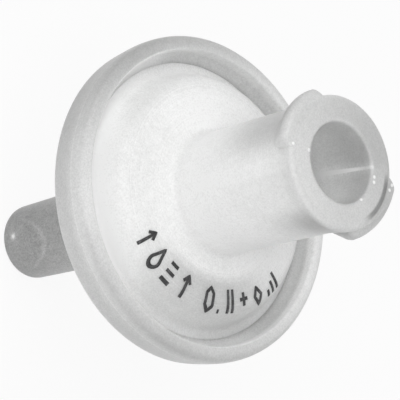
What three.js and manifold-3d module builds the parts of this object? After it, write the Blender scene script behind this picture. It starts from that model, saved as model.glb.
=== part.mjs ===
import * as THREE from 'three';
import { mergeVertices } from 'three/addons/utils/BufferGeometryUtils.js';
import Module from 'manifold-3d';

// Syringe filter for a 13 mm membrane. Lengths are in millimetres, angles in degrees.
// The flow axis is Z: the female Luer inlet is at the top and the male Luer outlet tip,
// whose end face is at Z = 0, is at the bottom.

// Heights along the flow axis
const LENGTH = 24.35;
const LIP_TOP = 14.35;
const FLANGE_TOP = 13.27;
const SEAL_PLANE = 12.72;
const FLANGE_BOTTOM = 12.15;
const BAND_BOTTOM = 11.85;

// Round things
const ROUND_STEPS = 64;
const CURVE_STEPS = 4;

// Membrane. Its radius drives the disc: both flanges and the band are laid out round it.
const MEMBRANE_RADIUS = 6.5;
const MEMBRANE_THICKNESS = 0.2;
const MEMBRANE_CLEARANCE = 0.05;
const SEAL_GRIP = 0.4;
const WELD_LAND = 1.45;

// Sealing band, with the lip that stands up round the crown
const BAND_CLEARANCE = 0.05;
const BAND_WALL = 0.6;
const BAND_REACH = 0.7;
const BAND_BACK_TAPER = 0.27;
const BAND_BACK_ROUND = 0.4;
const BAND_FOOT_HEIGHT = 0.08;
const SHOULDER_WIDTH = 0.35;
const SHOULDER_DEPTH = 0.55;
const LIP_WIDTH = 0.83;
const LIP_WALL_DEPTH = 0.7;
const LIP_EDGE = 0.08;

// Inlet crown, hub and female Luer bore
const CROWN_LEDGE = 0.85;
const CROWN_DRAFT = 0.05;
const CROWN_WALL_TOP = 14.45;
const CROWN_CORNER_HEIGHT = 14.87;
const CROWN_EDGE_WIDTH = 0.5;
const CROWN_EDGE_HEIGHT = 14.95;
const HUB_FILLET_WIDTH = 0.4;
const HUB_FILLET_FOOT = 15.27;
const HUB_FILLET_BEND = 15.35;
const HUB_FILLET_TOP = 15.7;
const HUB_BASE_RADIUS = 3.2;
const HUB_TOP_RADIUS = 3.3;
const COLLAR_STEP = 0.15;
const COLLAR_HEIGHT = 0.35;
const COLLAR_SLOPE = 1.2;
const MOUTH_EDGE = 0.1;
const LUER_TAPER = 0.03;
const LUER_BORE_RADIUS = 2.15;
const LUER_BORE_DEPTH = 8.5;
const BORE_EDGE = 0.15;
const BORE_CONE_DEPTH = 0.9;
const FEED_RADIUS = 0.9;
const FEED_FLARE = 0.5;
const CHAMBER_EDGE_HEIGHT = 0.13;
const CHAMBER_CENTRE_HEIGHT = 0.85;

// Ribs that spread the liquid over the membrane
const RIB_COUNT = 12;
const RIB_WIDTH = 0.36;
const RIB_FEED_GAP = 0.3;
const RIB_SEAL_GAP = 0.5;
const RIB_MEMBRANE_GAP = 0.06;
const RIB_ROOT = 0.1;

// Double-start Luer-lock thread round the mouth: each start is one short lug
const THREAD_STARTS = 2;
const THREAD_LEAD = 3.0;
const THREAD_HEIGHT = 0.57;
const THREAD_ROOT_DEPTH = 0.4;
const CREST_WIDTH = 0.5;
const UPPER_FLANK = 0.1;
const LOWER_FLANK = 1.6;
const LUG_FROM = 20;
const LUG_TO = 95;
const LUG_TOP_DROP = 0.12;
const LUG_STEP = 5;
const LUG_LEAD_IN = 10;
const LUG_END_HEIGHT = 0.45;

// Outlet floor: rings that carry the membrane, cut across by channels that drain it
const FLOOR_EDGE = 12.2;
const FLOOR_CENTRE = 11.15;
const SUPPORT_RING_COUNT = 5;
const SUPPORT_RING_WIDTH = 0.36;
const SUPPORT_RING_DRAIN_GAP = 0.75;
const SUPPORT_RING_SEAL_GAP = 0.65;
const CHANNEL_COUNT = 8;
const CHANNEL_WIDTH = 0.55;
const CHANNEL_DEPTH = 0.12;
const CHANNEL_SEAL_GAP = 0.25;

// Back dome, neck and male Luer tip
const BACK_LEDGE = 0.4;
const BACK_DOME_SWELL = [5.2, 10.75];
const BACK_DOME_END = [3.4, 10.35];
const NECK_TOP = 9.85;
const NECK_TOP_RADIUS = 2.9;
const NECK_BOTTOM = 8.35;
const NECK_BOTTOM_RADIUS = 2.75;
const TIP_LENGTH = 7.85;
const TIP_RADIUS = 1.98;
const TIP_EDGE = 0.5;
const DRAIN_RADIUS = 0.9;

const MEMBRANE_BOTTOM = SEAL_PLANE - MEMBRANE_THICKNESS;
const SEAL_INNER_RADIUS = MEMBRANE_RADIUS - SEAL_GRIP;
const POCKET_RADIUS = MEMBRANE_RADIUS + MEMBRANE_CLEARANCE;
const FLANGE_RADIUS = POCKET_RADIUS + WELD_LAND;
const BAND_GRIP_RADIUS = FLANGE_RADIUS + BAND_CLEARANCE;
const BAND_RADIUS = BAND_GRIP_RADIUS + BAND_WALL;
const BAND_FOOT_RADIUS = FLANGE_RADIUS - BAND_REACH;
const THREAD_RADIUS = HUB_TOP_RADIUS + THREAD_HEIGHT;
const THREAD_ROOT_RADIUS = HUB_TOP_RADIUS - THREAD_ROOT_DEPTH;
const DEGREE = Math.PI / 180;

const wasm = await Module();
wasm.setup();

// A closed surface as a solid that can be joined and cut
function toSolid(geometry) {
  geometry.deleteAttribute('normal');
  geometry.deleteAttribute('uv');
  const welded = mergeVertices(geometry);
  return new wasm.Manifold(new wasm.Mesh({
    numProp: 3,
    vertProperties: Float32Array.from(welded.attributes.position.array),
    triVerts: Uint32Array.from(welded.index.array),
  }));
}

function toMesh(name, solid, material) {
  const { vertProperties, triVerts } = solid.getMesh();
  const geometry = new THREE.BufferGeometry();
  geometry.setAttribute('position', new THREE.BufferAttribute(vertProperties, 3));
  geometry.setIndex(new THREE.BufferAttribute(triVerts, 1));
  geometry.computeVertexNormals();
  const mesh = new THREE.Mesh(geometry, material);
  mesh.name = name;
  return mesh;
}

// Turns a section drawn as (radius, height) about the flow axis
function turned(section) {
  section.closePath();
  const geometry = new THREE.LatheGeometry(section.getPoints(CURVE_STEPS), ROUND_STEPS);
  geometry.rotateX(Math.PI / 2);
  return toSolid(geometry);
}

// A flat outline drawn as (radius, height), given a width and stood on the X axis
function radialPlate(outline, width) {
  const geometry = new THREE.ExtrudeGeometry(outline, { depth: width, bevelEnabled: false });
  geometry.translate(0, 0, -width / 2);
  geometry.rotateX(Math.PI / 2);
  return toSolid(geometry);
}

function cylinder(radius, bottom, top) {
  const section = new THREE.Path();
  section.moveTo(0, bottom);
  section.lineTo(radius, bottom);
  section.lineTo(radius, top);
  section.lineTo(0, top);
  return turned(section);
}

function chamberCeiling(radius) {
  const span = SEAL_INNER_RADIUS - FEED_RADIUS - FEED_FLARE;
  const share = (SEAL_INNER_RADIUS - radius) / span;
  const rise = CHAMBER_CENTRE_HEIGHT - CHAMBER_EDGE_HEIGHT;
  return SEAL_PLANE + CHAMBER_EDGE_HEIGHT + rise * share;
}

// Flange, crown, hub and bore of the inlet half in one turned section
function inletShell() {
  const boreBottom = LENGTH - LUER_BORE_DEPTH;
  const boreBottomRadius = LUER_BORE_RADIUS - LUER_TAPER * (LUER_BORE_DEPTH - BORE_EDGE);
  const flareRadius = FEED_RADIUS + FEED_FLARE;
  const flareHeight = chamberCeiling(flareRadius);
  const crownFoot = BAND_FOOT_RADIUS - CROWN_LEDGE;
  const crownCorner = crownFoot - CROWN_DRAFT;
  const hubFoot = HUB_BASE_RADIUS + HUB_FILLET_WIDTH;
  const collarRadius = HUB_TOP_RADIUS + COLLAR_STEP;
  const section = new THREE.Path();
  section.moveTo(SEAL_INNER_RADIUS, SEAL_PLANE);
  section.lineTo(FLANGE_RADIUS, SEAL_PLANE);
  section.lineTo(FLANGE_RADIUS, FLANGE_TOP);
  section.lineTo(crownFoot, FLANGE_TOP);
  section.lineTo(crownCorner, CROWN_WALL_TOP);
  section.quadraticCurveTo(
    crownCorner, CROWN_CORNER_HEIGHT,
    crownCorner - CROWN_EDGE_WIDTH, CROWN_EDGE_HEIGHT,
  );
  section.lineTo(hubFoot, HUB_FILLET_FOOT);
  section.quadraticCurveTo(HUB_BASE_RADIUS, HUB_FILLET_BEND, HUB_BASE_RADIUS, HUB_FILLET_TOP);
  section.lineTo(HUB_TOP_RADIUS, LENGTH - COLLAR_HEIGHT - COLLAR_SLOPE);
  section.lineTo(collarRadius, LENGTH - COLLAR_HEIGHT);
  section.lineTo(collarRadius, LENGTH - MOUTH_EDGE);
  section.quadraticCurveTo(collarRadius, LENGTH, collarRadius - MOUTH_EDGE, LENGTH);
  section.lineTo(LUER_BORE_RADIUS + BORE_EDGE, LENGTH);
  section.quadraticCurveTo(LUER_BORE_RADIUS, LENGTH, LUER_BORE_RADIUS, LENGTH - BORE_EDGE);
  section.lineTo(boreBottomRadius, boreBottom);
  section.lineTo(FEED_RADIUS, boreBottom - BORE_CONE_DEPTH);
  section.lineTo(FEED_RADIUS, flareHeight + FEED_FLARE);
  section.quadraticCurveTo(FEED_RADIUS, flareHeight, flareRadius, flareHeight);
  section.lineTo(SEAL_INNER_RADIUS, chamberCeiling(SEAL_INNER_RADIUS));
  return turned(section);
}

function spreadingRib(index) {
  const bottom = SEAL_PLANE + RIB_MEMBRANE_GAP;
  const inner = FEED_RADIUS + FEED_FLARE + RIB_FEED_GAP;
  const outer = SEAL_INNER_RADIUS - RIB_SEAL_GAP;
  const outline = new THREE.Shape();
  outline.moveTo(inner, bottom);
  outline.lineTo(outer, bottom);
  outline.lineTo(outer, chamberCeiling(outer) + RIB_ROOT);
  outline.lineTo(inner, chamberCeiling(inner) + RIB_ROOT);
  outline.closePath();
  return radialPlate(outline, RIB_WIDTH).rotate([0, 0, (index + 0.5) * 360 / RIB_COUNT]);
}

// One lug: a straight bar of thread section, bent round the hub and let down along the helix
function threadLug() {
  const section = new THREE.Shape();
  section.moveTo(THREAD_ROOT_RADIUS, -CREST_WIDTH - LOWER_FLANK);
  section.lineTo(THREAD_RADIUS, -CREST_WIDTH);
  section.lineTo(THREAD_RADIUS, 0);
  section.lineTo(THREAD_ROOT_RADIUS, UPPER_FLANK);
  section.closePath();
  const span = LUG_TO - LUG_FROM;
  const sweep = { depth: span, steps: span / LUG_STEP, bevelEnabled: false };
  const bar = new THREE.ExtrudeGeometry(section, sweep);
  const point = bar.attributes.position;
  for (let i = 0; i < point.count; i += 1) {
    const turn = point.getZ(i);
    const share = Math.min(1, Math.min(turn, span - turn) / LUG_LEAD_IN);
    const fullness = LUG_END_HEIGHT + (1 - LUG_END_HEIGHT) * Math.sqrt(share);
    const radius = THREAD_ROOT_RADIUS + (point.getX(i) - THREAD_ROOT_RADIUS) * fullness;
    const angle = (LUG_FROM + turn) * DEGREE;
    const top = LENGTH - THREAD_LEAD * turn / 360;
    point.setXYZ(i, radius * Math.sin(angle), radius * Math.cos(angle), top + point.getY(i));
  }
  return toSolid(bar).intersect(cylinder(BAND_RADIUS, LIP_TOP, LENGTH - LUG_TOP_DROP));
}

function inletHousing() {
  let half = inletShell();
  for (let i = 0; i < RIB_COUNT; i += 1) {
    half = half.add(spreadingRib(i));
  }
  for (let start = 0; start < THREAD_STARTS; start += 1) {
    half = half.add(threadLug().rotate([0, 0, start * 360 / THREAD_STARTS]));
  }
  return half;
}

function floorHeight(radius) {
  const share = (radius - DRAIN_RADIUS) / (SEAL_INNER_RADIUS - DRAIN_RADIUS);
  return FLOOR_CENTRE + (FLOOR_EDGE - FLOOR_CENTRE) * share;
}

// Tip, neck, back dome, flange and ringed floor of the outlet half in one turned section
function outletShell() {
  const tipRootRadius = TIP_RADIUS + LUER_TAPER * (TIP_LENGTH - TIP_EDGE);
  const domeRadius = BAND_FOOT_RADIUS - BACK_LEDGE;
  const section = new THREE.Path();
  section.moveTo(DRAIN_RADIUS, 0);
  section.lineTo(TIP_RADIUS - TIP_EDGE, 0);
  section.quadraticCurveTo(TIP_RADIUS, 0, TIP_RADIUS, TIP_EDGE);
  section.lineTo(tipRootRadius, TIP_LENGTH);
  section.lineTo(NECK_BOTTOM_RADIUS, NECK_BOTTOM);
  section.lineTo(NECK_TOP_RADIUS, NECK_TOP);
  section.quadraticCurveTo(NECK_TOP_RADIUS, BACK_DOME_END[1], ...BACK_DOME_END);
  section.quadraticCurveTo(...BACK_DOME_SWELL, domeRadius, FLANGE_BOTTOM);
  section.lineTo(FLANGE_RADIUS, FLANGE_BOTTOM);
  section.lineTo(FLANGE_RADIUS, SEAL_PLANE);
  section.lineTo(POCKET_RADIUS, SEAL_PLANE);
  section.lineTo(POCKET_RADIUS, MEMBRANE_BOTTOM);
  section.lineTo(SEAL_INNER_RADIUS, MEMBRANE_BOTTOM);
  section.lineTo(SEAL_INNER_RADIUS, floorHeight(SEAL_INNER_RADIUS));
  const firstRing = DRAIN_RADIUS + SUPPORT_RING_DRAIN_GAP;
  const lastRing = SEAL_INNER_RADIUS - SUPPORT_RING_SEAL_GAP;
  const ringPitch = (lastRing - firstRing) / (SUPPORT_RING_COUNT - 1);
  for (let i = 0; i < SUPPORT_RING_COUNT; i += 1) {
    const outer = lastRing - i * ringPitch + SUPPORT_RING_WIDTH / 2;
    const inner = outer - SUPPORT_RING_WIDTH;
    section.lineTo(outer, floorHeight(outer));
    section.lineTo(outer, MEMBRANE_BOTTOM);
    section.lineTo(inner, MEMBRANE_BOTTOM);
    section.lineTo(inner, floorHeight(inner));
  }
  section.lineTo(DRAIN_RADIUS, floorHeight(DRAIN_RADIUS));
  return turned(section);
}

function drainChannel(index) {
  const end = SEAL_INNER_RADIUS - CHANNEL_SEAL_GAP;
  const outline = new THREE.Shape();
  outline.moveTo(0, floorHeight(0) - CHANNEL_DEPTH);
  outline.lineTo(end, floorHeight(end) - CHANNEL_DEPTH);
  outline.lineTo(end, LIP_TOP);
  outline.lineTo(0, LIP_TOP);
  outline.closePath();
  return radialPlate(outline, CHANNEL_WIDTH).rotate([0, 0, index * 360 / CHANNEL_COUNT]);
}

function outletHousing() {
  let half = outletShell();
  for (let i = 0; i < CHANNEL_COUNT; i += 1) {
    half = half.subtract(drainChannel(i));
  }
  return half;
}

// The band grips both flanges; its raised lip stands round the crown
function sealingBand() {
  const backRadius = BAND_RADIUS - BAND_BACK_TAPER;
  const shoulder = BAND_RADIUS - SHOULDER_WIDTH;
  const lipInner = BAND_RADIUS - LIP_WIDTH;
  const section = new THREE.Path();
  section.moveTo(BAND_FOOT_RADIUS, BAND_BOTTOM);
  section.lineTo(backRadius - BAND_BACK_ROUND, BAND_BOTTOM);
  section.quadraticCurveTo(backRadius, BAND_BOTTOM, backRadius, BAND_BOTTOM + BAND_BACK_ROUND);
  section.lineTo(BAND_RADIUS, LIP_TOP - SHOULDER_DEPTH);
  section.quadraticCurveTo(BAND_RADIUS - SHOULDER_WIDTH / 3, LIP_TOP - LIP_EDGE, shoulder, LIP_TOP);
  section.lineTo(lipInner + LIP_EDGE, LIP_TOP);
  section.lineTo(lipInner, LIP_TOP - LIP_EDGE);
  section.lineTo(lipInner, LIP_TOP - LIP_WALL_DEPTH);
  section.lineTo(BAND_FOOT_RADIUS, FLANGE_TOP + BAND_FOOT_HEIGHT);
  section.lineTo(BAND_FOOT_RADIUS, FLANGE_TOP);
  section.lineTo(BAND_GRIP_RADIUS, FLANGE_TOP);
  section.lineTo(BAND_GRIP_RADIUS, FLANGE_BOTTOM);
  section.lineTo(BAND_FOOT_RADIUS, FLANGE_BOTTOM);
  return turned(section);
}

const polypropylene = new THREE.MeshStandardMaterial({ color: 0xe6e8e7, roughness: 0.38, metalness: 0 });
const bandPlastic = new THREE.MeshStandardMaterial({ color: 0xdde0df, roughness: 0.34, metalness: 0 });
const outletPlastic = new THREE.MeshStandardMaterial({ color: 0xdadddc, roughness: 0.38, metalness: 0 });
const membraneSheet = new THREE.MeshStandardMaterial({ color: 0xf6f6f3, roughness: 0.9, metalness: 0 });

const filter = new THREE.Group();
filter.name = 'syringe_filter';
filter.add(toMesh('inlet_housing', inletHousing(), polypropylene));
filter.add(toMesh('outlet_housing', outletHousing(), outletPlastic));
filter.add(toMesh('membrane', cylinder(MEMBRANE_RADIUS, MEMBRANE_BOTTOM, SEAL_PLANE), membraneSheet));
filter.add(toMesh('sealing_band', sealingBand(), bandPlastic));

export default filter;
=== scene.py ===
import math

import bmesh
import bpy
from mathutils import Matrix, Vector


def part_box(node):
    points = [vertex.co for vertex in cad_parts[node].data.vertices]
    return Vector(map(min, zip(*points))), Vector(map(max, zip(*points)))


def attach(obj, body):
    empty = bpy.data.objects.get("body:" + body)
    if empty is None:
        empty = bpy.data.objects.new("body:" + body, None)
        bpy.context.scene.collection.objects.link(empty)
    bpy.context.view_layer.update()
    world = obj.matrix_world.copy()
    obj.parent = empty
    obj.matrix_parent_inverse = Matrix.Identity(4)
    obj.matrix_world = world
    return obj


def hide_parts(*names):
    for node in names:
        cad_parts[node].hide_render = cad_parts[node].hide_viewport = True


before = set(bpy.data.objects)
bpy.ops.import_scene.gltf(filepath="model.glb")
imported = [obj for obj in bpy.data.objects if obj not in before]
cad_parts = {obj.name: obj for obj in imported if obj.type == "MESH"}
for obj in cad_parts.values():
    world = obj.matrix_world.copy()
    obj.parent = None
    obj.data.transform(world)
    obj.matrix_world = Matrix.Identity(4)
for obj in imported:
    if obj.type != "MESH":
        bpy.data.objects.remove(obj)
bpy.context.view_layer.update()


# The camera. It looks down on the disc from the front and above, rolled on its side, so that
# the flow axis runs from the lower left to the upper right. A long lens, about 21 cm away.
disc_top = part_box("sealing_band")[1].z
camera_data = bpy.data.cameras.new("camera")
camera_data.lens = 361
camera_data.sensor_width = 36
camera = bpy.data.objects.new("camera", camera_data)
camera.matrix_world = (
    Matrix.Translation(Vector((0.000057, -0.144711, disc_top + 0.14927)))
    @ Matrix.Rotation(math.radians(44), 4, "X")
    @ Matrix.Rotation(math.radians(75.6), 4, "Z")
)
bpy.context.scene.collection.objects.link(camera)
bpy.context.scene.camera = camera


# Outlet half of the housing: one moulding in natural polypropylene, with the male Luer tip,
# the neck, the back dome, the flange and the ringed floor that carries the membrane.
# It is turned from one section; the drain channels are then cut across its rings.
MM = 0.001
seal_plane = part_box("outlet_housing")[1].z / MM
floor_edge = seal_plane - 0.52
floor_centre = seal_plane - 1.57
flange_bottom = seal_plane - 0.57
dome_edge = seal_plane - 1.97
dome_foot = seal_plane - 2.37
neck_foot = seal_plane - 4.37
tip_root = seal_plane - 4.87
membrane_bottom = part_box("membrane")[0].z / MM
drain_radius = 0.9
tip_radius = 1.98
tip_root_radius = 2.205
neck_foot_radius = 2.75
neck_radius = 2.9
dome_foot_radius = 3.4
dome_radius = 5.2
back_ledge_radius = 6.9
flange_radius = 8.0
pocket_radius = 6.55
seal_radius = 6.1
ring_radii = (5.45, 4.5, 3.55, 2.6, 1.65)
ring_width = 0.36
channel_count = 8
channel_width = 0.55
channel_depth = 0.12
channel_start, channel_end = 0.75, 5.85
turning_steps = 192
palest = 0.98


class Wire:
    """A link in a node tree. Sums and products of wires add their own Math nodes."""

    def __init__(self, tree, socket=None):
        self.tree = tree
        self.socket = socket

    def node(self, kind, settings, sockets, output=0):
        made = self.tree.nodes.new(kind)
        for key, value in settings.items():
            if key == "stops":
                lay_stops(made.color_ramp.elements, value)
            else:
                setattr(made, key, value)
        for key, value in sockets.items():
            if isinstance(value, Wire):
                self.tree.links.new(value.socket, made.inputs[key])
            else:
                made.inputs[key].default_value = value
        return Wire(self.tree, made.outputs[output] if made.outputs else None)

    def twin(self, output):
        return Wire(self.tree, self.socket.node.outputs[output])

    def math(self, operation, *values):
        return self.node("ShaderNodeMath", {"operation": operation}, dict(enumerate(values)))

    def __add__(self, other):
        return self.math("ADD", self, other)

    def __sub__(self, other):
        return self.math("SUBTRACT", self, other)

    def __rsub__(self, other):
        return self.math("SUBTRACT", other, self)

    def __mul__(self, other):
        return self.math("MULTIPLY", self, other)

    def __truediv__(self, other):
        return self.math("DIVIDE", self, other)

    def __pow__(self, other):
        return self.math("POWER", self, other)

    def __abs__(self):
        return self.math("ABSOLUTE", self)

    __radd__ = __add__
    __rmul__ = __mul__

    def ease(self, start, end):
        """0 below start, 1 above end, with a smooth slope between; start may be the larger."""
        span = {"interpolation_type": "SMOOTHSTEP"}
        if start < end:
            return self.node("ShaderNodeMapRange", span, {0: self, 1: start, 2: end})
        return 1 - self.ease(end, start)


def lay_stops(elements, stops):
    while len(elements) > 1:
        elements.remove(elements[-1])
    for place, tone in stops:
        stop = elements[0] if place == stops[0][0] else elements.new(place)
        stop.position = place
        stop.color = (tone, tone, tone, 1)


def node_group(name, inputs):
    """A Geometry Nodes tree with its named inputs; returns it and the inputs' wires by name."""
    tree = bpy.data.node_groups.new(name, "GeometryNodeTree")
    tree.interface.new_socket("Geometry", in_out="INPUT", socket_type="NodeSocketGeometry")
    for label, kind in inputs.items():
        tree.interface.new_socket(label, in_out="INPUT", socket_type="NodeSocket" + kind)
    tree.interface.new_socket("Geometry", in_out="OUTPUT", socket_type="NodeSocketGeometry")
    entry = tree.nodes.new("NodeGroupInput")
    return tree, {out.name: Wire(tree, out) for out in entry.outputs if out.name}


def close_group(shape, finish):
    """Ends a tree: its instances are made real and given their finish."""
    real = shape.node("GeometryNodeRealizeInstances", {}, {0: shape})
    done = real.node("GeometryNodeSetMaterial", {}, {"Geometry": real, "Material": finish})
    leave = shape.tree.nodes.new("NodeGroupOutput")
    shape.tree.links.new(done.socket, leave.inputs[0])


def run_group(piece, tree, values):
    """Runs a tree on a piece, its inputs set by their identifiers, and keeps the plain mesh."""
    step = piece.modifiers.new(tree.name, "NODES")
    step.node_group = tree
    for socket in tree.interface.items_tree:
        if socket.in_out == "INPUT" and socket.name in values:
            step[socket.identifier] = values[socket.name]
    settle(piece)


def settle(piece):
    graph = bpy.context.evaluated_depsgraph_get()
    mesh = bpy.data.meshes.new_from_object(piece.evaluated_get(graph))
    piece.modifiers.clear()
    piece.data = mesh


def new_piece(name, points, edges=(), faces=()):
    mesh = bpy.data.meshes.new(name)
    mesh.from_pydata(points, edges, faces)
    piece = bpy.data.objects.new(name, mesh)
    bpy.context.scene.collection.objects.link(piece)
    return piece


def faces_out(piece):
    """Merges doubled points and turns every face outwards."""
    doubled_within = 0.000002
    solid = bmesh.new()
    solid.from_mesh(piece.data)
    bmesh.ops.remove_doubles(solid, verts=solid.verts, dist=doubled_within)
    bmesh.ops.recalc_face_normals(solid, faces=solid.faces)
    solid.to_mesh(piece.data)
    solid.free()


def bend(before, corner, after, steps=5):
    """A corner eased into a curve between two points on its sides."""
    curve = []
    for i in range(steps + 1):
        t = i / steps
        curve.append(before.lerp(corner, t).lerp(corner.lerp(after, t), t))
    return curve


def along_side(corner, near, ease, near_ease):
    """Where a curve leaves the side towards the near corner, after a point that keeps it flat."""
    flat_strip = 0.03
    least_straight = 0.1
    length = (near - corner).length
    share = min(1, length / (ease + near_ease))
    reach = ease * share
    leaves = corner.lerp(near, reach / length)
    if length - (ease + near_ease) * share > least_straight:
        return [corner.lerp(near, (reach + flat_strip) / length), leaves]
    return [leaves]


def eased(corners):
    """A closed section of (radius, height, ease) corners, each eased that far along its sides."""
    least_gap = 0.004
    section = []
    for i, (radius, height, ease) in enumerate(corners):
        corner = Vector((radius, height))
        before, after = corners[i - 1], corners[(i + 1) % len(corners)]
        if ease == 0:
            section.append(corner)
            continue
        start = along_side(corner, Vector(before[:2]), ease, before[2])
        end = along_side(corner, Vector(after[:2]), ease, after[2])
        section += start[:-1] + bend(start[-1], corner, end[-1]) + end[-2::-1]
    return [p for i, p in enumerate(section) if (p - section[i - 1]).length > least_gap]


turning_tree, wires = node_group(
    "turn_round_axis", {"Turning radius": "Float", "Steps": "Int", "Finish": "Material"})
path = wires["Steps"].node("GeometryNodeCurvePrimitiveCircle", {"mode": "RADIUS"}, {
    "Resolution": wires["Steps"], "Radius": wires["Turning radius"]})
outline = path.node("GeometryNodeMeshToCurve", {}, {0: wires["Geometry"]})
shell = path.node("GeometryNodeCurveToMesh", {}, {"Curve": path, "Profile Curve": outline})
close_group(shell, wires["Finish"])


def turned(name, corners, finish):
    """Turns a closed section, in millimetres, round the flow axis into one closed piece."""
    section = eased(corners)
    axis_gap = 1.0
    points = [((p.x - axis_gap) * MM, -p.y * MM, 0) for p in section]
    edges = [(i, (i + 1) % len(points)) for i in range(len(points))]
    piece = new_piece(name, points, edges)
    run_group(piece, turning_tree, {
        "Turning radius": axis_gap * MM, "Steps": turning_steps, "Finish": finish})
    faces_out(piece)
    return piece


copies_tree, wires = node_group(
    "copies_round_axis", {"Copies": "Int", "First turn": "Float", "Finish": "Material"})
spots = wires["Copies"].node("GeometryNodePoints", {}, {"Count": wires["Copies"], "Radius": 0.0001})
order = spots.node("GeometryNodeInputIndex", {}, {})
angle = wires["First turn"] + order * (2 * math.pi) / wires["Copies"]
turn = angle.node("ShaderNodeCombineXYZ", {}, {"Z": angle})
copies = spots.node("GeometryNodeInstanceOnPoints", {}, {
    "Points": spots, "Instance": wires["Geometry"], "Rotation": turn})
close_group(copies, wires["Finish"])


def radial_plate(name, outline, width):
    """A flat outline of (radius, height) points, given a width and stood on the X axis."""
    points = [(x * MM, side * width / 2 * MM, z * MM) for side in (-1, 1) for x, z in outline]
    count = len(outline)
    faces = [tuple(range(count)), tuple(range(2 * count - 1, count - 1, -1))]
    faces += [(i, (i + 1) % count, (i + 1) % count + count, i + count) for i in range(count)]
    piece = new_piece(name, points, (), faces)
    faces_out(piece)
    return piece


def combine(piece, tool, operation):
    """Joins a tool to a piece, or cuts it away, and removes the tool."""
    step = piece.modifiers.new("combine", "BOOLEAN")
    step.operation = operation
    step.solver = "MANIFOLD"
    step.object = tool
    settle(piece)
    bpy.data.objects.remove(tool)


def smooth(piece):
    """Smooth shading over the curves, with the real edges kept."""
    piece.data.shade_smooth()
    piece.data.set_sharp_from_angle(angle=math.radians(32))


def finish_piece(piece, node):
    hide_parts(node)
    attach(piece, "root")


class Place:
    """Where a point of the surface lies, in millimetres from the tip's end and the flow axis."""

    def __init__(self, position):
        parts = position.node("ShaderNodeSeparateXYZ", {}, {0: position})
        self.x = parts / MM
        self.y = parts.twin("Y") / MM
        self.height = parts.twin("Z") / MM
        self.radius = (self.x * self.x + self.y * self.y) ** 0.5

    def facing(self, clock):
        """How far it lies towards a clock angle, which turns from +Y to +X: 1 there, 0 beside."""
        turn = math.radians(clock)
        return (self.x * math.sin(turn) + self.y * math.cos(turn)) / self.radius

    def side(self, clock, start, end=1):
        """A soft patch round a clock angle: 0 where facing is under start, 1 where it is over end."""
        return self.facing(clock).ease(start, end)

    def gap_squared(self, radius, height, clock):
        """The squared distance to a point given by its radius, height and clock angle."""
        turn = math.radians(clock)
        across, along = self.x - radius * math.sin(turn), self.y - radius * math.cos(turn)
        return across ** 2 + along ** 2 + (self.height - height) ** 2


def ramp(value, stops):
    return value.node("ShaderNodeValToRGB", {"stops": stops}, {0: value})


def noise_along(value, detail):
    """Noise, about 0.5 in the middle, that changes along one value only."""
    return value.node("ShaderNodeTexNoise", {"noise_dimensions": "1D"}, {"W": value, "Detail": detail})


def moulded_plastic(name, tone, cloud=0.035, roughness=0.36):
    """Natural polypropylene: a tone with painted light and shade in it, milky clouding,
    a fine spark-eroded grain and a satin sheen. tone is worked out from a Place."""
    material = bpy.data.materials.new(name)
    material.use_nodes = True
    material.node_tree.nodes.clear()
    start = Wire(material.node_tree)
    place = start.node("ShaderNodeTexCoord", {}, {}, "Object")
    milk = start.node("ShaderNodeTexNoise", {}, {"Vector": place, "Scale": 300.0, "Detail": 3.0})
    mottle = start.node("ShaderNodeTexNoise", {}, {"Vector": place, "Scale": 3000.0, "Detail": 2.0})
    grain = start.node("ShaderNodeTexNoise", {}, {"Vector": place, "Scale": 11000.0, "Detail": 1.0})
    clouding = 1 + ((milk - 0.5) * 2 + (mottle - 0.5) * 4 + (grain - 0.5) * 9) * cloud
    value = tone(Place(place)) * clouding
    value = value.math("MINIMUM", value, palest)
    colour = start.node("ShaderNodeCombineColor", {}, {0: value, 1: value * 1.003, 2: value * 0.998})
    sheen = roughness + (milk - 0.5) * 0.12 + (mottle - 0.5) * 0.1
    relief = start.node("ShaderNodeBump", {}, {
        "Strength": 0.25, "Distance": 0.00003, "Height": grain * 0.6 + mottle * 0.4})
    surface = start.node("ShaderNodeBsdfPrincipled", {}, {
        "Base Color": colour, "Roughness": sheen, "Normal": relief,
        "IOR": 1.49, "Specular IOR Level": 0.25,
        "Subsurface Weight": 0.6, "Subsurface Scale": 0.0012, "Subsurface Radius": (1.0, 1.0, 1.0)})
    start.node("ShaderNodeOutputMaterial", {}, {"Surface": surface})
    return material


def outlet_tone(at):
    """Painted shade greys it towards the tip, which lies under the disc with no white membrane behind it.
    Painted light gathers in two places on the tip: a glowing arc, where the far side of its bore
    shows through, and a painted glint near its end. The side towards +X is painted paler."""
    wall = ramp(at.height / seal_plane, (
        (0.0, 0.35), (0.2, 0.38), (0.3, 0.43), (0.62, 0.5), (0.75, 0.62), (1.0, 0.68)))
    front = at.facing(180)
    arc_height = front * 7.5 - 4
    painted_far_wall_glow = abs(at.height - arc_height).ease(0.35, 0.0) * front.ease(0.65, 0.9) * 0.22
    gap = at.gap_squared(2.02, 1.0, 195.8) ** 0.5
    spot = gap.ease(1.3, 0.0) * 0.15 + gap.ease(0.4, 0.0) ** 2 * 1.4
    return wall * (1 + at.facing(90) * 0.12 + painted_far_wall_glow + spot)


def floor_height(radius):
    """The outlet floor under the membrane, which falls towards the drain hole."""
    share = (radius - drain_radius) / (seal_radius - drain_radius)
    return floor_centre + (floor_edge - floor_centre) * share


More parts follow.
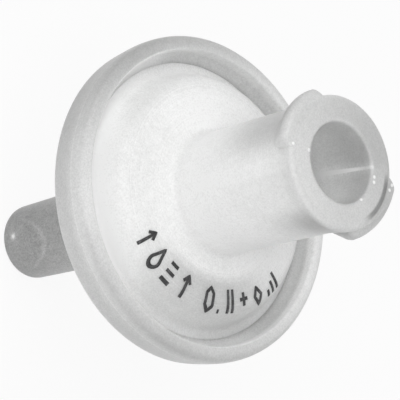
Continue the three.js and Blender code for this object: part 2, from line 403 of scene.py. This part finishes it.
outlet_section = [
    (drain_radius, 0, 0.12), (tip_radius, 0, 0.42), (tip_root_radius, tip_root, 0.15),
    (neck_foot_radius, neck_foot, 0.2), (neck_radius, dome_foot, 0.5), (dome_foot_radius, dome_foot, 0.1),
    (dome_radius, dome_edge, 1.8), (back_ledge_radius, flange_bottom, 0.1),
    (flange_radius, flange_bottom, 0), (flange_radius, seal_plane, 0),
    (pocket_radius, seal_plane, 0), (pocket_radius, membrane_bottom, 0),
    (seal_radius, membrane_bottom, 0.05), (seal_radius, floor_height(seal_radius), 0),
]
for ring in ring_radii:
    outer, inner = ring + ring_width / 2, ring - ring_width / 2
    outlet_section += [
        (outer, floor_height(outer), 0.06), (outer, membrane_bottom, 0.06),
        (inner, membrane_bottom, 0.06), (inner, floor_height(inner), 0.06)]
outlet_section.append((drain_radius, floor_height(drain_radius), 0.1))

outlet_plastic = moulded_plastic("outlet_polypropylene", outlet_tone, cloud=0.09)
outlet = turned("outlet_half", outlet_section, outlet_plastic)
channel = radial_plate("drain_channel", [
    (channel_start, floor_height(channel_start) - channel_depth),
    (channel_end, floor_height(channel_end) - channel_depth),
    (channel_end, seal_plane + 1), (channel_start, seal_plane + 1)], channel_width)
run_group(channel, copies_tree, {"Copies": channel_count, "First turn": 0.0, "Finish": outlet_plastic})
combine(outlet, channel, "DIFFERENCE")
smooth(outlet)
finish_piece(outlet, "outlet_housing")


# Membrane: a thin disc of white porous PVDF, clamped between the two halves. It keeps its own
# solid; its surface is matt and open, like fine felt, and darker in the pores.
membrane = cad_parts["membrane"]


def porous_sheet(name):
    material = bpy.data.materials.new(name)
    material.use_nodes = True
    material.node_tree.nodes.clear()
    start = Wire(material.node_tree)
    place = start.node("ShaderNodeTexCoord", {}, {}, "Object")
    pores = start.node("ShaderNodeTexVoronoi", {"feature": "DISTANCE_TO_EDGE"}, {
        "Vector": place, "Scale": 9000.0})
    felt = start.node("ShaderNodeTexNoise", {}, {"Vector": place, "Scale": 4000.0, "Detail": 4.0})
    damp = start.node("ShaderNodeTexNoise", {}, {"Vector": place, "Scale": 300.0})
    value = 0.84 + felt * 0.08 - pores.ease(0.12, 0.5) * 0.06 + (damp - 0.5) * 0.05
    colour = start.node("ShaderNodeCombineColor", {}, {0: value, 1: value, 2: value * 0.985})
    relief = start.node("ShaderNodeBump", {}, {
        "Strength": 0.6, "Distance": 0.00004, "Height": felt - pores})
    surface = start.node("ShaderNodeBsdfPrincipled", {}, {
        "Base Color": colour, "Roughness": 0.8 + felt * 0.18, "Normal": relief})
    start.node("ShaderNodeOutputMaterial", {}, {"Surface": surface})
    return material


membrane.data.materials.clear()
membrane.data.materials.append(porous_sheet("pvdf_membrane"))


# Inlet half of the housing: one moulding in the same plastic, with the flange, the crown, the
# hub and the female Luer mouth. Ribs under the crown spread the liquid; two short lugs of
# double-start thread stand out round the mouth.
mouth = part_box("inlet_housing")[1].z / MM
flange_top = seal_plane + 0.55
crown_edge = seal_plane + 2.23
bore_radius = 2.1
bore_bottom_radius = 1.9
bore_bottom = mouth - 8.5
feed_radius = 0.9
feed_flare = 0.5
chamber_edge = seal_plane + 0.13
chamber_centre = seal_plane + 0.85
crown_foot_radius = 6.8
crown_radius = 6.34
crown_top_radius = 5.5
hub_fillet_radius = 3.6
hub_base_radius = 3.2
hub_radius = 3.3
collar_radius = 3.5
crest_radius = 3.92
root_radius = 2.9
lug_start, lug_end = 22, 98
lug_lead = 2.2
lug_lead_in = 9
lug_drop = 0.05
rib_count = 12
rib_width = 0.36
rib_start, rib_end = 1.7, 5.6
rib_bottom = seal_plane + 0.06
rib_root = 0.1
line_turn = math.radians(16.7)


def ceiling(radius):
    """The chamber's ceiling over the membrane, which rises towards the feed hole."""
    share = (seal_radius - radius) / (seal_radius - feed_radius - feed_flare)
    return chamber_edge + (chamber_centre - chamber_edge) * share


def hub_shade(at, depth):
    """Painted shade: both flanks of the hub darken towards the mouth; a faint painted highlight runs up its
    front.
    """
    left_flank = at.side(250, 0.65, 0.98) * depth.ease(7.5, 2.2) * 0.33
    right_flank = at.side(110, 0.7, 0.97) * depth.ease(4.6, 1.6) * (0.24 + 0.16 * depth.ease(2.4, 1.2))
    painted_highlight_line = at.side(193, 0.985, 0.999) * depth.ease(8.2, 6.5) * 0.05
    return (painted_highlight_line - left_flank - right_flank) * depth.ease(0.1, 0.6)


def mouth_shade(at, depth):
    """Painted shade round the mouth: on the face, deepest towards +Y; on the collar's front; on the lug
    round clock 40; and a dark crescent where the face's edge shades the lug.
    """
    face = depth.ease(0.6, 0.1) * (0.08 + 0.15 * at.facing(0))
    collar = at.radius.ease(3.05, 3.25) * depth.ease(1.2, 0.6) * at.side(195, 0, 0.8) * 0.06
    step = abs(at.radius - 3.15).ease(0.2, 0.06) * depth.ease(1, 0.7) * at.side(50, 0.85, 0.97) * 0.5
    lug = at.radius.ease(3.1, 3.4) * depth.ease(1.3, 0.9) * at.side(40, 0.6, 0.95) * 0.12
    return face + collar + step + lug


def crown_light(at):
    """Painted light and shade: broad pale and dark patches on the crown and its wall, and faint moulding
    swirls.
    """
    outer_part = at.radius.ease(4.1, 4.9) - at.radius.ease(5.8, 6.4) * 0.1
    dark_right = at.side(115, 0.6, 0.97) * outer_part * 0.27
    dark_edges = (
        at.side(250, 0.85) * at.radius.ease(5.6, 6.3) * 0.1
        + at.side(66, 0.9) * at.radius.ease(5.9, 6.3) * 0.05)
    pale_sides = (
        at.side(55, 0.6) * at.radius.ease(6.2, 5.8) * 0.08
        + at.side(285, 0.6) * at.radius.ease(3.3, 3.6) * at.radius.ease(5.8, 5.2) * 0.08)
    round_foot = (
        at.side(195, 0.5) * 0.08 - at.side(85, 0.7) * 0.03 + at.side(135, 0.7) * 0.1
        + at.side(244, 0.9) * at.radius.ease(6.6, 7) * 0.12)
    foot = round_foot * at.height.ease(crown_edge - 0.2, crown_edge - 1.3)
    on_top = at.radius.ease(3.5, 4) * at.height.ease(crown_edge - 0.5, crown_edge)
    swirl = (noise_along(at.radius * 2.5, 1.0) - 0.5) * on_top * 0.12
    return pale_sides + foot + swirl - dark_right - dark_edges


def bore_tone(at, depth):
    """Painted shade inside the bore: grey, paler with depth and towards its sides, with a painted bright
    uneven line of light down its wall.
    """
    across = at.facing(90)
    ground = 0.52 + 0.13 * depth.ease(0, 2) + 0.25 * depth.ease(1, 4)
    from_line = abs(at.x * math.cos(line_turn) - at.y * math.sin(line_turn) + 0.075 * depth)
    sparkle = 0.3 + 1.4 * noise_along(depth * 6, 2.0)
    line = from_line.ease(0.14, 0.02) * (0.14 + 0.36 * abs(depth - 2.2).ease(2, 0.2)) * sparkle
    halo = from_line.ease(0.5, 0) * 0.08 + from_line.ease(1, 0) * depth.ease(3, 6) * 0.12
    return ground * (1 + across * across * (0.2 - 0.08 * across)) + (line + halo) * at.y.ease(0, 1)


def glints(at):
    """Painted glints: tiny bright spots on the mouth's edges, the lug, the crown's wall and its foot."""
    spots = (
        (2.3, mouth, 29), (2.34, mouth, 36), (2.14, mouth, 71), (2.3, mouth, 206),
        (3.5, mouth - 0.05, 34), (3.35, mouth - 0.1, 207), (3.62, mouth - 0.05, 29),
        (6.43, crown_edge - 1.18, 209), (6.43, crown_edge - 1.1, 212), (6.44, crown_edge - 1.45, 217),
        (6.5, flange_top, 197), (6.5, flange_top, 200))
    light = 0
    for radius, height, clock in spots:
        light = at.gap_squared(radius, height, clock).ease(0.015, 0.001) + light
    return light


def inlet_tone(at):
    # The tone by height is partly painted light: near white where the membrane shows through the crown, and
    # painted shade that greys the hub towards the mouth.
    wall = ramp((at.height - seal_plane) / (mouth - seal_plane), (
        (0.0, 0.93), (0.06, 0.95), (0.14, 0.9), (0.175, 0.84), (0.2, 0.87), (0.33, 0.95), (0.5, 0.93),
        (0.65, 0.88), (0.8, 0.85), (0.9, 0.82), (0.96, 0.77), (0.98, 0.7), (1.0, 0.68)))
    depth = mouth - at.height
    outside = wall * (1 + hub_shade(at, depth) - mouth_shade(at, depth) + crown_light(at))
    in_bore = at.radius.ease(bore_radius + 0.2, bore_radius + 0.06) * depth.ease(9, 8)
    return outside * (1 - in_bore) + bore_tone(at, depth) * in_bore + glints(at) * 0.4


inlet_section = [
    (seal_radius, seal_plane, 0), (flange_radius, seal_plane, 0), (flange_radius, flange_top, 0),
    (crown_foot_radius, flange_top, 0.3), (crown_radius, crown_edge - 0.12, 0.6),
    (crown_top_radius, crown_edge + 0.05, 0.2), (hub_fillet_radius, crown_edge + 0.32, 0.25),
    (hub_base_radius, crown_edge + 0.4, 0.36), (hub_radius, mouth - 1.7, 0.5),
    (collar_radius - 0.01, mouth - 0.5, 0.3), (collar_radius, mouth, 0.35),
    (bore_radius, mouth, 0.16), (bore_bottom_radius, bore_bottom, 0.1),
    (feed_radius, bore_bottom - 0.9, 0.15), (feed_radius, ceiling(feed_radius + feed_flare / 2), 0.4),
    (feed_radius + feed_flare, ceiling(feed_radius + feed_flare), 0.1),
    (seal_radius, ceiling(seal_radius), 0.04),
]
inlet_plastic = moulded_plastic("inlet_polypropylene", inlet_tone)
inlet = turned("inlet_half", inlet_section, inlet_plastic)
rib = radial_plate("spreading_rib", [
    (rib_start, rib_bottom), (rib_end, rib_bottom),
    (rib_end, ceiling(rib_end) + rib_root), (rib_start, ceiling(rib_start) + rib_root)], rib_width)
run_group(rib, copies_tree, {
    "Copies": rib_count, "First turn": math.pi / rib_count, "Finish": inlet_plastic})
combine(inlet, rib, "UNION")

lug_tree, wires = node_group("thread_lug", {
    "Length": "Float", "Crest radius": "Float", "Root radius": "Float", "First turn": "Float",
    "Lead": "Float", "Top": "Float", "Top limit": "Float", "Lead in": "Float", "Finish": "Material"})
place = wires["Lead"].node("GeometryNodeInputPosition", {}, {})
stand = place.node("ShaderNodeSeparateXYZ", {}, {0: place})
rise, along = stand.twin("Y"), stand.twin("Z")
turn = along / wires["Crest radius"]
to_end = along.math("MINIMUM", along, wires["Length"] - along)
fullness = 0.25 + 0.75 * (to_end / wires["Lead in"]).math("MINIMUM", to_end / wires["Lead in"], 1) ** 0.5
radius = wires["Root radius"] + stand * fullness
clock = turn + wires["First turn"]
height = wires["Top"] + rise - wires["Lead"] * turn / (2 * math.pi)
bent = place.node("ShaderNodeCombineXYZ", {}, {
    "X": radius * clock.math("SINE", clock), "Y": radius * clock.math("COSINE", clock),
    "Z": height.math("MINIMUM", height, wires["Top limit"])})
lug = place.node("GeometryNodeSetPosition", {}, {"Geometry": wires["Geometry"], "Position": bent})
close_group(lug, wires["Finish"])

lug_length = math.radians(lug_end - lug_start) * crest_radius
lug_reach = crest_radius - root_radius
lug_section = eased([
    (0, -2.1, 0), (lug_reach, -0.5, 0.25), (lug_reach, 0, 0.3), (0.6, 0.15, 0.2), (0.4, 0.7, 0),
    (0, 0.7, 0)])
lug_steps = 47
lug_points = [
    (p.x * MM, p.y * MM, lug_length * i / lug_steps * MM) for i in range(lug_steps + 1) for p in lug_section]
size = len(lug_section)
lug_faces = [tuple(range(size)), tuple(range(lug_steps * size, lug_steps * size + size))]
for i in range(lug_steps):
    for j in range(size):
        k = (j + 1) % size
        lug_faces.append((i * size + j, i * size + k, i * size + size + k, i * size + size + j))
lug = new_piece("thread_lug", lug_points, (), lug_faces)
run_group(lug, lug_tree, {
    "Length": lug_length * MM, "Crest radius": crest_radius * MM, "Root radius": root_radius * MM,
    "First turn": math.radians(lug_start), "Lead": lug_lead * MM, "Top": mouth * MM,
    "Top limit": (mouth - lug_drop) * MM, "Lead in": math.radians(lug_lead_in) * crest_radius * MM,
    "Finish": inlet_plastic})
run_group(lug, copies_tree, {"Copies": 2, "First turn": 0.0, "Finish": inlet_plastic})
faces_out(lug)
combine(inlet, lug, "UNION")
smooth(inlet)
finish_piece(inlet, "inlet_housing")


# Sealing band: a ring of clearer plastic moulded over the rims of both halves, which holds
# them together. Its upper edge stands up as a lip round the crown.
band_low, band_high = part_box("sealing_band")
rim_radius = band_high.x / MM
lip_top = band_high.z / MM
band_bottom = band_low.z / MM
lip_width = 0.83
lip_depth = 0.72
grip_radius = flange_radius + 0.05
band_reach = 7.3
band_section = [
    (band_reach, band_bottom, 0.05), (rim_radius - 0.27, band_bottom, 0.36),
    (rim_radius, lip_top - 0.75, 0.4), (rim_radius - 0.1, lip_top, 0.5),
    (rim_radius - lip_width, lip_top, 0.16), (rim_radius - lip_width, lip_top - lip_depth, 0.3),
    (band_reach, flange_top + 0.03, 0), (band_reach, flange_top, 0), (grip_radius, flange_top, 0),
    (grip_radius, flange_bottom, 0), (band_reach, flange_bottom, 0),
]


def groove_light(at):
    """The groove inside the lip: paler where light comes through the crown, darker across from it."""
    inner_wall = at.height.ease(lip_top - 0.65, lip_top - 0.35) * at.side(60, 0.6, 0.95) * 0.25
    pale = at.side(105, 0.8) * 0.16 + at.side(246, 0.85) * 0.42
    dark = at.side(55, 0.8) * 0.15 + at.side(310, 0.6) * 0.08
    return inner_wall + pale - dark


def rim_light(at):
    """Painted light and shade on the lip and the rim: a slow change of tone round the disc, with three
    darker patches of painted shade.
    """
    along, across = at.facing(0), at.facing(90)
    slow = along * 0.12 + across * 0.1 + (along * along - across * across) * 0.19 + across * along * 0.08
    edge_shade = at.side(148, 0.7) * at.height.ease(lip_top - 0.7, lip_top - 0.2) * 0.16
    return slow - 0.03 - at.side(238, 0.82) * 0.07 - at.side(330, 0.7) * 0.07 - edge_shade


def band_tone(at):
    # The tone across the band is partly painted light: a pale line at the lip's inner edge and a painted
    # darker outer side.
    wall = ramp((at.radius - band_reach) / (rim_radius - band_reach), (
        (0.0, 0.78), (0.34, 0.72), (0.38, 0.79), (0.5, 0.77), (0.7, 0.73), (0.85, 0.67), (0.93, 0.65),
        (1.0, 0.72)))
    # Painted shade low on the rim, none towards clock 150.
    low = at.height.ease(lip_top - 1.2, lip_top - 2.5) * at.radius.ease(8.2, 8.3)
    low_shade = low * (0.1 - at.side(150, 0.5) * 0.1)
    # A painted highlight along the parting line round the rim.
    parting_highlight = abs(at.height - (lip_top - 0.8)).ease(0.07, 0.02) * at.radius.ease(8.5, 8.55) * 0.08
    on_lip = at.radius.ease(7.8, 7.95)
    light = rim_light(at) * on_lip + groove_light(at) * (1 - on_lip)
    return wall * (1 - low_shade + parting_highlight) * (1 + light)


band_plastic = moulded_plastic("band_polypropylene", band_tone, cloud=0.04, roughness=0.32)
band = turned("sealing_band_ring", band_section, band_plastic)
smooth(band)
finish_piece(band, "sealing_band")


# Printed marks: one curved line of plain signs in black ink, pad-printed on the crown's edge.
# The ink is a thin film, so each stroke is a flat ribbon laid down on the crown under it.
print_radius = 6.18
stroke_width = 0.19
film = 0.02
probe_height = mouth - 6


def arc(x, y, wide, high, start, end, steps=14):
    """Points on part of an oval, its angles in degrees from the right."""
    turns = [math.radians(start + (end - start) * i / steps) for i in range(steps + 1)]
    return [(x + wide * math.cos(t), y + high * math.sin(t)) for t in turns]


def spaced(stroke, gap=0.09):
    """The same stroke with points added on it, so that no two lie further apart than gap."""
    points = [stroke[0]]
    for (x, y), (next_x, next_y) in zip(stroke, stroke[1:]):
        count = math.ceil(math.hypot(next_x - x, next_y - y) / gap)
        points += [
            (x + (next_x - x) * i / count, y + (next_y - y) * i / count) for i in range(1, count + 1)]
    return points


flow_arrow = [[(0, 0), (0, 1.2)], [(-0.28, 0.82), (0, 1.2), (0.28, 0.82)]]
drop = [[(0, 1.22)] + arc(0, 0.34, 0.31, 0.34, 150, 390) + [(0, 1.22)]]
sieve = [[(-0.32, y), (0.32, y)] for y in (0.1, 0.6, 1.1)]
capsule = [[(0, 0), (-0.27, 0.28), (-0.27, 0.92), (0, 1.2), (0.27, 0.92), (0.27, 0.28), (0, 0)]]
dot = [[(-0.07, 0.08), (0.07, 0.08)]]
bars = [[(-0.18, 0), (-0.18, 1.2)], [(0.18, 0), (0.18, 1.2)]]
plus = [[(-0.3, 0.6), (0.3, 0.6)], [(0, 0.25), (0, 0.95)]]
diamond = [[(0, 0), (-0.28, 0.45), (0, 0.9), (0.28, 0.45), (0, 0)]]
rising_bars = [[(-0.4, 0), (-0.4, 0.35)], [(0, 0), (0, 0.65)], [(0.4, 0), (0.4, 0.95)]]
signs = (
    (167, flow_arrow), (155, drop), (144, sieve), (132, flow_arrow), (114, capsule),
    (107, dot), (99, bars), (89, plus), (78, diamond), (66, rising_bars))

print_points, print_edges = [], []
for clock, strokes in signs:
    for stroke in strokes:
        first = len(print_points)
        across = math.radians(clock) * print_radius
        closed = stroke[0] == stroke[-1]
        path = spaced(stroke)[:-1] if closed else spaced(stroke)
        print_points += [((across - x) * MM, (print_radius - y) * MM, 0) for x, y in path]
        last = len(print_points) - 1
        print_edges += [(i, i + 1) for i in range(first, last)]
        if closed:
            print_edges.append((last, first))
marks = new_piece("printed_signs", print_points, print_edges)

ink_tree, wires = node_group("ink_on_crown", {
    "Stroke": "Float", "Film": "Float", "Line radius": "Float", "Above": "Float",
    "Crown": "Object", "Finish": "Material"})
line = wires["Stroke"].node("GeometryNodeMeshToCurve", {}, {0: wires["Geometry"]})
nib = line.node("GeometryNodeCurvePrimitiveQuadrilateral", {}, {
    "Width": wires["Stroke"], "Height": wires["Film"] * 2})
ribbon = line.node("GeometryNodeCurveToMesh", {}, {
    "Curve": line, "Profile Curve": nib, "Fill Caps": True})
place = line.node("GeometryNodeInputPosition", {}, {})
across = line.node("ShaderNodeSeparateXYZ", {}, {0: place})
radius, lift = across.twin("Y"), across.twin("Z")
clock = across / wires["Line radius"]
over = line.node("ShaderNodeCombineXYZ", {}, {
    "X": radius * clock.math("SINE", clock), "Y": radius * clock.math("COSINE", clock),
    "Z": wires["Above"]})
crown = line.node("GeometryNodeObjectInfo", {}, {"Object": wires["Crown"]}, "Geometry")
landing = line.node("GeometryNodeRaycast", {}, {
    "Target Geometry": crown, "Source Position": over, "Ray Direction": (0.0, 0.0, -1.0),
    "Ray Length": 0.01}, "Hit Position")
rest = line.node("ShaderNodeVectorMath", {"operation": "ADD"}, {
    0: landing, 1: line.node("ShaderNodeCombineXYZ", {}, {"Z": lift})})
laid = line.node("GeometryNodeSetPosition", {}, {"Geometry": ribbon, "Position": rest})
close_group(laid, wires["Finish"])


def black_ink(name):
    material = bpy.data.materials.new(name)
    material.use_nodes = True
    material.node_tree.nodes.clear()
    start = Wire(material.node_tree)
    place = start.node("ShaderNodeTexCoord", {}, {}, "Object")
    patch = start.node("ShaderNodeTexNoise", {}, {"Vector": place, "Scale": 6000.0, "Detail": 3.0})
    thin = start.node("ShaderNodeTexNoise", {}, {"Vector": place, "Scale": 1500.0})
    value = 0.02 + patch.ease(0.5, 0.8) * 0.1 + thin.ease(0.5, 0.75) * 0.05
    colour = start.node("ShaderNodeCombineColor", {}, {0: value, 1: value, 2: value * 1.05})
    relief = start.node("ShaderNodeBump", {}, {"Strength": 0.3, "Distance": 0.00001, "Height": patch})
    surface = start.node("ShaderNodeBsdfPrincipled", {}, {
        "Base Color": colour, "Roughness": 0.42 + patch * 0.2, "Normal": relief})
    start.node("ShaderNodeOutputMaterial", {}, {"Surface": surface})
    return material


run_group(marks, ink_tree, {
    "Stroke": stroke_width * MM, "Film": film * MM, "Line radius": print_radius * MM,
    "Above": probe_height * MM, "Crown": inlet, "Finish": black_ink("black_print_ink")})
faces_out(marks)
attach(marks, "root")


# The stand: a plain pale floor under the tip, a white surround that also fills the shadows, and
# five broad soft lamps: the strongest over the front, two round to -X, a low one and a faint one.
def seen_by_camera(start):
    """1 on the rays that show a thing to the camera, straight, mirrored or through a clear piece."""
    ray = start.node("ShaderNodeLightPath", {}, {}, "Is Camera Ray")
    direct = ray.math("MAXIMUM", ray, ray.twin("Is Transmission Ray"))
    return direct.math("MAXIMUM", direct, ray.twin("Is Glossy Ray"))


def pale_floor(name):
    material = bpy.data.materials.new(name)
    material.use_nodes = True
    material.node_tree.nodes.clear()
    start = Wire(material.node_tree)
    place = start.node("ShaderNodeTexCoord", {}, {}, "Object")
    paper = start.node("ShaderNodeTexNoise", {}, {"Vector": place, "Scale": 120.0})
    value = 0.82 + paper * 0.02
    colour = start.node("ShaderNodeCombineColor", {}, {0: value, 1: value, 2: value})
    matt = start.node("ShaderNodeBsdfDiffuse", {}, {"Color": colour})
    glow = start.node("ShaderNodeEmission", {}, {"Color": (1.0, 1.0, 1.0, 1.0), "Strength": 1.0})
    mixed = start.node("ShaderNodeMixShader", {}, {0: seen_by_camera(start) * 0.9, 1: matt, 2: glow})
    start.node("ShaderNodeOutputMaterial", {}, {"Surface": mixed})
    return material


floor_half = 0.25
floor_corners = [(x * floor_half, y * floor_half, 0) for x, y in ((-1, -1), (1, -1), (1, 1), (-1, 1))]
floor = new_piece("floor", floor_corners, (), [(0, 1, 2, 3)])
floor.data.materials.append(pale_floor("pale_floor"))

world = bpy.data.worlds.new("surround")
bpy.context.scene.world = world
world.use_nodes = True
world.node_tree.nodes.clear()
sky = Wire(world.node_tree)
white = sky.node("ShaderNodeBackground", {}, {"Color": (1.0, 1.0, 1.0, 1.0), "Strength": 1.0})
fill = sky.node("ShaderNodeBackground", {}, {"Color": (1.0, 1.0, 1.0, 1.0), "Strength": 0.405})
both = sky.node("ShaderNodeMixShader", {}, {0: seen_by_camera(sky), 1: fill, 2: white})
sky.node("ShaderNodeOutputWorld", {}, {"Surface": both})


lamp_distance = 0.5
lamp_width = 0.25


def lamp(name, clock, height, strength):
    """A round soft lamp that looks at the disc. clock turns from +Y to +X; height is in degrees.
    A strength of 1 lights a face that looks at the lamp as a full white surround would."""
    clock, height = math.radians(clock), math.radians(height)
    towards = Vector((
        math.sin(clock) * math.cos(height), math.cos(clock) * math.cos(height), math.sin(height)))
    light = bpy.data.lights.new(name, "AREA")
    light.shape = "DISK"
    light.size = lamp_width
    light.energy = strength * (math.pi * lamp_distance) ** 2
    place = bpy.data.objects.new(name, light)
    aim = Vector((0, 0, disc_top))
    place.matrix_world = (
        Matrix.Translation(aim + towards * lamp_distance)
        @ towards.to_track_quat("Z", "Y").to_matrix().to_4x4())
    bpy.context.scene.collection.objects.link(place)


lamp("key", 180, 55, 0.286)
lamp("corner", 225, 45, 0.148)
lamp("side", 270, 45, 0.167)
lamp("low", 125, 18, 0.128)
lamp("right", 15, 40, 0.059)

bpy.context.scene.view_settings.view_transform = "Standard"
